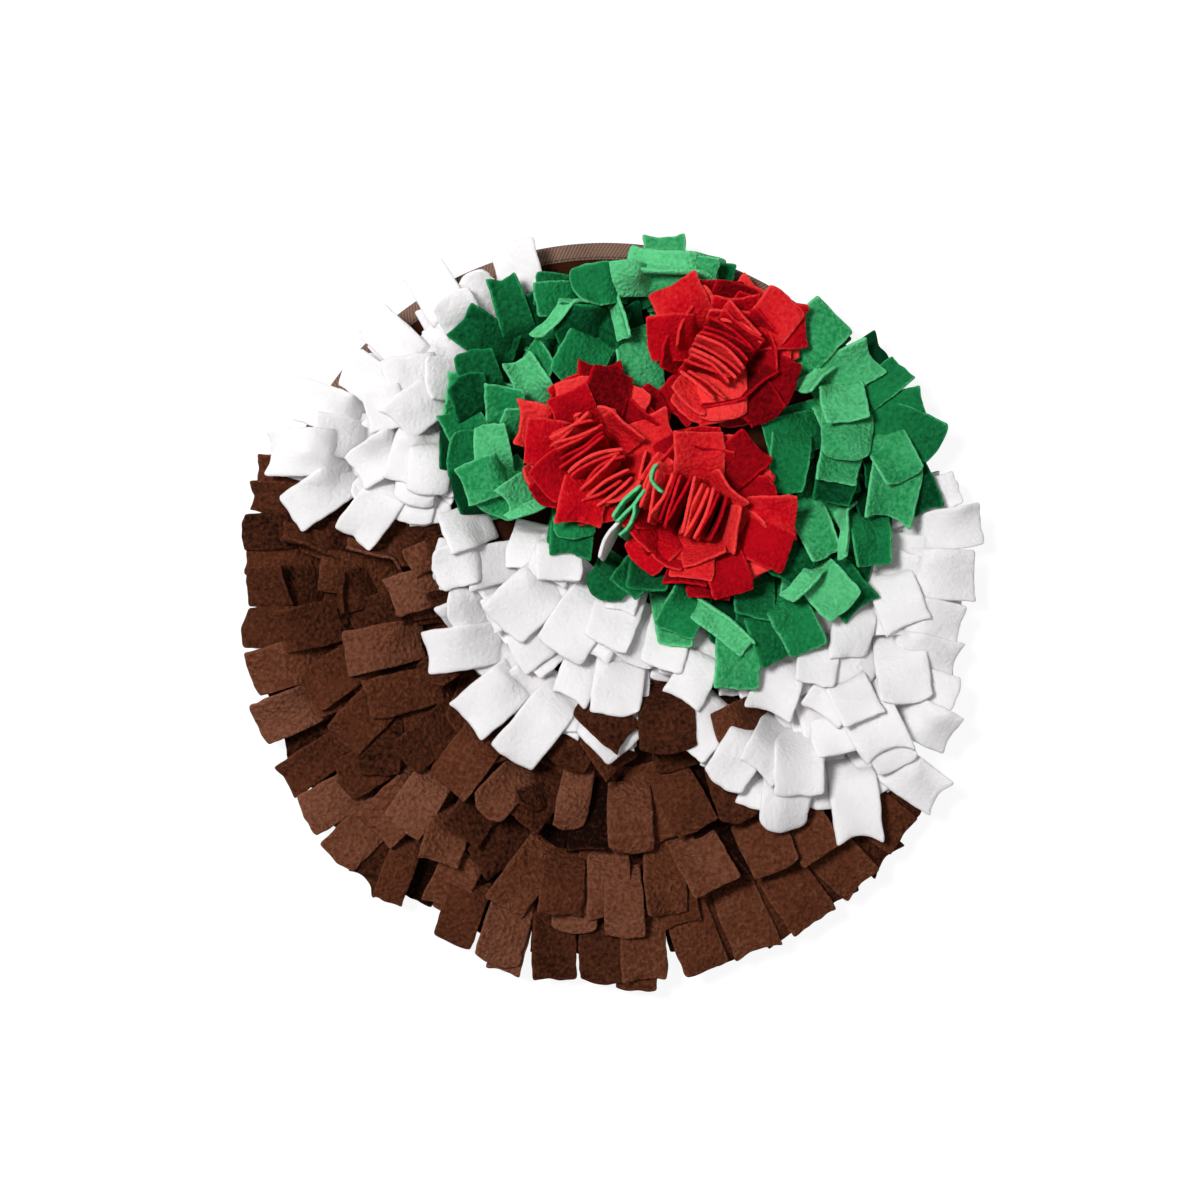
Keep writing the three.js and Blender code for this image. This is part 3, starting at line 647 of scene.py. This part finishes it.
ICING_TABS = {
    "icing_left_row_1": [
        (-55, 198, 104, 48, FLAT, 28), (-84, 176, 140, 44, LIFTED), (-108, 183, 122, 50, FLAT, 27),
        (-92, 166, 120, 40, LIFTED), (-136, 150, 140, 50, FLAT), (-152, 126, 148, 48, FLAT),
        (-183, 107, 162, 48, FLAT, 27), (-172, 86, 168, 40, LIFTED), (-196, 74, 178, 50, FLAT, 29),
    ],
    "icing_left_drip": [
        (-185, 37, 217, 48, FLAT), (-147, 25, 232, 52, FLAT, 27), (-112, 42, 262, 34, ARCHED),
    ],
    "icing_left_row_2": [
        (-128, 112, 196, 44, FLAT, 30), (-140, 96, 190, 40, LIFTED), (-122, 90, 215, 40, FLAT),
        (-106, 116, 185, 36, LIFTED),
    ],
    "icing_left_row_3": [(-146, 62, 215, 44, FLAT), (-118, 56, 250, 42, FLAT), (-104, 48, 270, 42, ARCHED)],
    "icing_middle_row_1": [
        (-102, 4, 192, 42, LIFTED), (-104, -44, 190, 50, FLAT), (-81, -84, 222, 50, FLAT, 30),
        (-56, -107, 231, 60, FLAT, 29), (12, -102, -45, 40, FLAT, 28),
    ],
    "icing_middle_row_2": [
        (-95, 24, 200, 34, LIFTED), (-62, -28, 225, 50, FLAT, 34), (-28, -44, 235, 50, FLAT, 32),
        (0, -40, 250, 44, FLAT, 30),
    ],
    "pudding_right_notch": [
        (64, -92, 205, 36, FLAT, 26), (12, -94, -45, 40, FLAT, 26), (37, -103, 272, 44, FLAT, 34),
    ],
    "icing_middle_row_3": [
        (58, -50, -100, 34, LIFTED), (45, -71, -120, 40, FLAT, 24), (32, -54, -110, 40, FLAT),
        (5, -81, -97, 42, FLAT, 31),
    ],
    "icing_middle_row_4": [(-27, -2, -90, 32, FLAT, 28, -1), (20, -12, -10, 30, ROLLED, 20)],
    "icing_right_row_1": [
        (208, 53, 20, 40, LIFTED, 22), (221, 32, 5, 46, FLAT), (217, 1, -3, 46, FLAT, 31),
        (208, -28, -8, 44, FLAT), (205, -50, -12, 44, FLAT), (206, -70, -15, 44, LIFTED),
        (203, -92, -25, 44, FLAT), (195, -128, -35, 50, FLAT, 26),
    ],
    "icing_right_row_2": [
        (101, -149, -105, 50, FLAT, 31), (149, -151, -83, 50, FLAT, 30), (172, -112, -60, 44, FLAT),
    ],
    "icing_right_corner": [(67, -121, -122, 50, FLAT, 27), (88, -112, -118, 40, LIFTED)],
    "icing_right_row_3": [
        (113, -126, -92, 44, FLAT, 31), (120, -96, 195, 44, FLAT, 24), (165, -100, -65, 48, FLAT, 34),
    ],
    "icing_right_row_4": [
        (126, -80, -125, 58, FLAT, 28), (150, -84, -70, 44, LIFTED), (176, -74, -82, 44, FLAT, 32),
    ],
    "icing_right_row_5": [
        (96, -78, -108, 42, FLAT, 30), (122, -62, -100, 40, LIFTED), (142, -46, -105, 40, ARCHED),
    ],
    "icing_right_row_6": [(177, -28, -72, 42, FLAT, 29)],
}
strips = [sew_fringe(ICING_SEED + i, seam, tabs, TRIM * length, rise, droop, unruly=1.1, layers=2)
          for i, (_, _, seam, tabs, length, rise, droop) in enumerate(ICING)]
for strip, (node, fibre, *_) in zip(strips, ICING):
    finish_fringe(strip, node, fibre, "white_fleece" if fibre is white else "brown_fleece", ICING_TABS[node])


# The holly: green fleece fringe in short strips, set round a ring like the vanes of a pinwheel. Each seam
# lies along a spoke of the ring, and its tabs sweep over the next strip's.
green = fleece("green fleece", (0.0005, 0.040, 0.012), (0.0125, 0.245, 0.072), (0.140, 0.660, 0.280),
               pebbles=0.7, tints=0.3, edges=0.25)
HOLLY_SEED = 300
# Seam ends, number of tabs and their length. The seams are straight.
HOLLY = [
    ("holly_under_left_berry", (-34, 45, -8, 43), 1, 28),
    ("holly_under_right_berry", (-2, 14, 24, -4), 1, 26),
    ("holly_bottom_row", (20, -2, 128, 6), 4, 42),
    ("holly_strip_1", (155, 62, 143, 106), 2, 42),
    ("holly_strip_2", (143, 100, 124, 124), 1, 38),
    ("holly_strip_3", (123, 113, 103, 133), 1, 40),
    ("holly_strip_4", (121, 41, 167, 21), 2, 36),
    ("holly_strip_5", (117, 62, 170, 53), 2, 36),
    ("holly_strip_6", (116, 79, 173, 85), 2, 36),
    ("holly_strip_7", (97, 93, 157, 110), 2, 36),
    ("holly_strip_8", (44, 168, 46, 190), 1, 30),
    ("holly_strip_9", (32, 160, 26, 185), 1, 42),
    ("holly_strip_10", (10, 154, -2, 177), 1, 40),
    ("holly_strip_11", (7, 123, -28, 164), 2, 36),
    ("holly_strip_12", (0, 109, -58, 149), 3, 36),
    ("holly_strip_13", (-30, 103, -79, 122), 2, 38),
    ("holly_strip_14", (-37, 84, -89, 92), 2, 38),
    ("holly_strip_15", (-38, 66, -90, 62), 2, 38),
    ("holly_strip_16", (-35, 49, -79, 37), 2, 34),
]
HOLLY_TABS = {
    "holly_under_left_berry": [(-20, 15, -92, 28, FLAT), (-18, 22, -85, 28, ARCHED)],
    "holly_under_right_berry": [(12, -8, -128, 28, CUPPED), (24, -8, -100, 26, TIPPED)],
    "holly_bottom_row": [
        (77, -66, -92, 46, FLAT, 28, 0.3), (40, -32, -115, 38, FLAT), (103, -48, -72, 42, FLAT),
        (86, -24, -95, 36, TIPPED), (120, -42, -62, 44, FLAT), (86, -38, -38, 54, ROLLED, 26, 0.8),
    ],
    "holly_strip_1": [
        (190, 40, -64, 46, FLAT, 22, -1), (187, 100, 16, 46, FLAT, 27, -0.3),
        (197, 78, -26, 46, FLAT, 27, -0.4),
    ],
    "holly_strip_2": [(176, 124, 38, 40, FLAT, 20), (156, 131, 32, 44, RAISED, 28, 0.6)],
    "holly_strip_3": [(135, 155, 47, 50, FLAT, 32, 0.2), (116, 107, 222, 34, ON_EDGE, 22, 1)],
    "holly_strip_4": [
        (104, -2, -118, 38, TIPPED, 26, -1), (150, -17, -46, 42, FLAT, 26, -0.8),
        (142, -19, -50, 42, RAISED, 29, 0.8), (108, -14, 228, 36, ON_EDGE, 22, 1),
    ],
    "holly_strip_5": [
        (131, 12, -66, 42, CUPPED, 24, 0.3), (156, 7, -86, 42, CUPPED, 27, -0.4),
        (141, 12, -96, 38, ON_EDGE, 22, 1),
    ],
    "holly_strip_6": [
        (131, 44, -106, 38, RAISED, 26, -1), (165, 37, -101, 44, RAISED, 32, 0.3),
        (133, 56, -106, 36, RAISED, 28, 0.3), (176, 57, -64, 42, RAISED, 27, 0.2),
    ],
    "holly_strip_7": [
        (94, 80, 196, 40, RAISED, 26, -0.4), (104, 50, -98, 48, CUPPED, 27, -0.4),
        (140, 69, -94, 42, ARCHED, 32, 0.4), (142, 90, -79, 38, TIPPED, 29, 0.7),
    ],
    "holly_strip_8": [(66, 180, -4, 34, RAISED, 18, 0.3)],
    "holly_strip_9": [(35, 201, 92, 44, FLAT, 25, 0.3), (12, 181, 177, 62, ROLLED, 30, 0.9)],
    "holly_strip_10": [
        (-42, 170, 172, 44, FLAT, 22), (-9, 175, 181, 42, FLAT, 20, 1), (-42, 162, 186, 42, TIPPED, 22),
    ],
    "holly_strip_11": [
        (-14, 128, -112, 48, FLAT, 34, -1), (-20, 168, 190, 40, TIPPED),
        (-30, 148, 175, 40, TIPPED, 26, -1), (13, 140, -80, 34, ON_EDGE, 20, 0.8),
        (24, 104, -78, 50, ARCHED, 28, 0.4),
    ],
    "holly_strip_12": [
        (-84, 150, 146, 40, FLAT, 26, -0.8), (-60, 174, 108, 44, CUPPED, 22),
        (-22, 112, -118, 44, FLAT, 30, -0.2), (-38, 138, 228, 42, ON_EDGE, 26, 1),
    ],
    "holly_strip_13": [(-78, 134, 108, 42, TIPPED, 26, -0.8), (-50, 128, 118, 42, CUPPED, 24, 0.7)],
    "holly_strip_14": [
        (-88, 98, 120, 36, RAISED), (-84, 118, 112, 42, TIPPED, 26, -1), (-58, 112, 88, 36, TIPPED),
    ],
    "holly_strip_15": [
        (-84, 86, 100, 38, TIPPED, 26, -0.6), (-48, 100, 80, 34, TIPPED),
        (-66, 90, 96, 36, CUPPED, 24, 0.6),
    ],
    "holly_strip_16": [
        (-66, 36, -112, 44, RAISED, 28, 0.2), (-82, 52, -160, 36, RAISED),
        (-58, 45, 212, 38, CUPPED, 22, 0.6), (-57, 33, 206, 42, ON_EDGE, 18, 1),
    ],
}
strips = [sew_fringe(HOLLY_SEED + i, (*seam, 0), tabs, length, rise=50, droop=0, unruly=1.7, layers=1)
          for i, (_, seam, tabs, length) in enumerate(HOLLY)]
for strip, (node, *_) in zip(strips, HOLLY):
    finish_fringe(strip, node, green, "green_fleece", HOLLY_TABS[node])


# The berries: three rosettes of red fleece. Square petals are gathered on a round foot: they splay out
# round it, stand up steeper towards the middle, and at the middle stand on edge side by side.
red = fleece("red fleece", (0.100, 0.0002, 0.002), (0.590, 0.0022, 0.010), (0.990, 0.056, 0.052),
             pebbles=0.7, tints=0.3, edges=0.25)
PETAL = 27
# Rings of petals: how many, how far out they start, the angles at which they rise and droop, and their length
# in a berry of nominal reach. All but the innermost leave a gap where the berry is parted, of so many degrees
# to each side, and only the lowest lie on the cloth below.
RINGS = [(8, 18, 22, -8, 30), (9, 18, 42, 20, 32), (8, 17, 56, 36, 34), (7, 17, 68, 54, 34)]
NOMINAL_REACH = 48
PARTING = 24
PARTED_RINGS = 3
LAID_RINGS = 2
RING_STEP = 0.0015
# The petals that stand on edge at the middle: how many, how far apart, how far up they start, and the length,
# width and angles of the middle one. From there to each side they get smaller and lean apart.
CORE = 13
CORE_PITCH = 3.0
CORE_STEP = 0.005
CORE_LENGTH = 38
CORE_WIDTH = 34
CORE_RISE = 88
CORE_DROOP = 76
# How many rows of a petal are tucked in, and how wide its root is for its width.
TUCKED_PETAL_ROWS = 4
PETAL_ROOT_SHARE = 0.85


def add_petal(bm, rng, foot, at, heading, rests, **tab):
    """Adds a petal from where it starts. Petals that rest on the cloth below are laid on it."""
    for size in ("length", "width", "ear"):
        tab[size] *= MM
    points = turned(tab_shape(rng, PETAL_ROOT_SHARE * tab["width"], **tab), at, heading)
    points[..., 2] += foot
    add_cloth(bm, laid(points, TUCKED_PETAL_ROWS) if rests else points, rng.uniform(-1, 1))


# Each berry's middle, that of its core, the way the core faces, its reach, and the way in which it is parted.
BERRIES = [
    ("berry_top", (71, 132), (67, 129), 55, 41, 200),
    ("berry_left", (-5, 77), (-6, 67), 126, 45, -57),
    ("berry_right", (60, 38), (47, 42), 156, 50, 170),
]
# The petals that show whole round the outside, in the same order as the placed tabs.
BERRY_TABS = {
    "berry_top": [
        (112, 112, -28, 36, FLAT, 26, -0.8), (98, 93, -52, 36, FLAT, 26, -1),
        (40, 171, 112, 38, FLAT, 32, 0.2), (25, 140, 183, 38, FLAT, 28, -0.2),
        (117, 148, 4, 38, FLAT, 28, -0.2), (108, 164, 50, 36, FLAT, 28, 0.3),
        (38, 97, 230, 38, FLAT, 28, -0.5), (69, 92, -88, 42, ARCHED, 31, 0.9),
    ],
    "berry_left": [
        (5, 121, 78, 38, FLAT, 26, -1), (-22, 108, 112, 36, FLAT, 27, -0.3),
        (-47, 80, 174, 36, FLAT, 28, 0), (-38, 52, 215, 36, FLAT, 27, -0.4),
        (-16, 33, 256, 36, FLAT, 28, 0), (38, 88, 24, 38, FLAT, 26, 0.4),
    ],
    "berry_right": [
        (88, 77, 42, 38, FLAT, 28, -0.8), (54, 85, 97, 38, FLAT, 32, 0.3), (112, 35, -2, 38, FLAT, 27, 0.2),
        (107, 14, -26, 38, FLAT, 26, -0.3), (75, -10, -72, 38, FLAT, 26, -0.5),
        (50, -1, -98, 36, FLAT, 27, 0.4), (18, 8, -136, 36, FLAT, 26, 0),
    ],
}
for node, middle, core, facing, reach, parted in BERRIES:
    rng = np.random.default_rng(sum(map(ord, node)))
    bm = new_cloth()
    middle = MM * np.array(middle)
    core = MM * np.array(core)
    for ring, (count, start, rise, droop, length) in enumerate(RINGS):
        for i in range(count):
            heading = math.radians(facing + 360 * (i + 0.5 * ring) / count + rng.normal(0, 9))
            in_parting = math.cos(heading - math.radians(parted)) > math.cos(math.radians(PARTING))
            if ring < PARTED_RINGS and in_parting:
                continue
            inward = ring / len(RINGS)
            at = (1 - inward) * middle + inward * core
            at = at + MM * (start + rng.normal(0, 1.5)) * np.array([math.cos(heading), math.sin(heading)])
            add_petal(bm, rng, ROOT_HEIGHT + RING_STEP * ring, at, heading + math.radians(rng.normal(0, 10)),
                      ring < LAID_RINGS, length=length * reach / NOMINAL_REACH * rng.uniform(0.92, 1.06),
                      width=PETAL + rng.uniform(-1, 2), rise=rise + rng.normal(0, 6),
                      droop=droop + rng.normal(0, 12), cup=rng.normal(0, 22), roll=rng.normal(6, 8),
                      ear=rng.choice([-3, 0, 3]), skew=rng.normal(0, 3))
    way = np.array([math.cos(math.radians(facing)), math.sin(math.radians(facing))])
    for i in range(CORE):
        off = (i - (CORE - 1) / 2) * CORE_PITCH
        at = core + MM * (off * way + rng.normal(0, 1.5) * np.array([-way[1], way[0]]))
        add_petal(bm, rng, ROOT_HEIGHT + CORE_STEP, at, math.radians(facing + rng.normal(0, 5)), False,
                  length=CORE_LENGTH - 0.2 * abs(off) + rng.normal(0, 1),
                  width=CORE_WIDTH - 0.4 * abs(off) + rng.uniform(-1, 3),
                  rise=CORE_RISE - 0.5 * off + rng.normal(0, 2),
                  droop=CORE_DROOP - 0.6 * off + rng.normal(0, 2),
                  cup=rng.normal(0, 10), roll=rng.normal(0, 3), ear=rng.choice([-2, 0, 2]),
                  skew=rng.normal(0, 3))
    for x, y, heading, length, tilt, wide, tint in BERRY_TABS[node]:
        tab = {"length": length, "width": wide, "lean": rng.normal(0, 3), "ear": rng.choice([-3, 0, 3]),
               "skew": rng.normal(0, 3), "tint": tint, **tilt}
        tab["roll"] = rng.normal(0, 12)
        lay_tab(bm, rng, None, MM * np.array([x, y]), math.radians(heading), tab)
    piece = finish_cloth(bm, node + "_petals")
    place(piece, red, "red_fleece", node)
    petals = CORE + sum(row[0] for row in RINGS) + len(BERRY_TABS[node])
    MM * petals * PETAL


# Between the berries a few ends of fringe are squeezed up on edge: four of the holly's, one of the icing's.
# Each stands on the base, and its cut edge shows. A row gives the middle of its tip, its heading, its length
# and width, and how tightly it is cupped.
ENDS = [
    ("holly_ends", "green_fleece", green, [
        (10, 46, 141, 47, 26, 0), (15, 42, 141, 44, 26, 8), (25, 57, 185, 46, 22, 90),
        (14, 33, 155, 44, 22, -70),
    ]),
    ("icing_end", "white_fleece", white, [(-1, 24, 152, 42, 26, 20)]),
]
for name, slot, fibre, ends in ENDS:
    rng = np.random.default_rng(len(name))
    bm = new_cloth()
    for x, y, heading, long, wide, cup in ends:
        shape = tab_shape(rng, MM * wide, MM * long, MM * wide, rise=88, droop=80, cup=cup)
        heading = math.radians(heading)
        reach = shape[-1, TAB_COLUMNS // 2, 0]
        back = MM * np.array([x, y]) - reach * np.array([math.cos(heading), math.sin(heading)])
        points = turned(shape, back, heading)
        points[..., 2] += ROOT_HEIGHT
        add_cloth(bm, points, 0.5)
    piece = finish_cloth(bm, name)
    piece.data.materials.append(fibre)
    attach(piece, "root")
    wide = sum(row[4] for row in ends)
    MM * wide
    MM * sum(row[3] * row[4] for row in ends) / wide


# The floor is plain and pale, and the light soft: most of it comes from high up, from the left and a little
# behind. The camera looks straight down.
FLOOR_SIZE = 6
bm = bmesh.new()
bmesh.ops.create_grid(bm, x_segments=1, y_segments=1, size=FLOOR_SIZE / 2)
floor = piece_from(bm, "floor")
paper, cloth = new_material("pale floor")
seen = cloth.node("ShaderNodeLightPath", output=0)
matt = cloth.node("ShaderNodeBsdfDiffuse", None, {"Color": (0.9, 0.9, 0.9, 1)})
glow = cloth.node("ShaderNodeEmission", None, {"Color": (1, 1, 1, 1), "Strength": 1.12})
both = cloth.node("ShaderNodeMixShader", None, {0: 0.8 * seen, 1: matt, 2: glow})
cloth.node("ShaderNodeOutputMaterial", None, {"Surface": both})
floor.data.materials.append(paper)

world = bpy.data.worlds.new("studio")
world.use_nodes = True
bpy.context.scene.world = world
sky = Shade(world.node_tree)
world.node_tree.nodes.clear()
air = sky.node("ShaderNodeBackground", None, {"Color": (1, 1, 1, 1), "Strength": 0.09})
sky.node("ShaderNodeOutputWorld", None, {"Surface": air})


def soft_lamp(name, at, size, power):
    """A round lamp that points at the middle of the mat."""
    data = bpy.data.lights.new(name, "AREA")
    data.shape = "DISK"
    data.size = size
    data.energy = power
    lamp = bpy.data.objects.new(name, data)
    bpy.context.scene.collection.objects.link(lamp)
    lamp.location = at
    lamp.rotation_euler = (-Vector(at)).to_track_quat("-Z", "Y").to_euler()


soft_lamp("key", (-0.85, 0.5, 1.95), size=0.6, power=46)
soft_lamp("fill", (0.5, -0.3, 2.2), size=1.6, power=8)

CAMERA_HEIGHT = 1.592
look = Vector((-0.003, -0.013, 0))
camera = bpy.data.objects.new("camera", bpy.data.cameras.new("camera"))
bpy.context.scene.collection.objects.link(camera)
camera.location = look + Vector((0, 0, CAMERA_HEIGHT))
camera.data.lens = 80
camera.data.sensor_width = 36
bpy.context.scene.camera = camera
bpy.context.scene.view_settings.view_transform = "Standard"
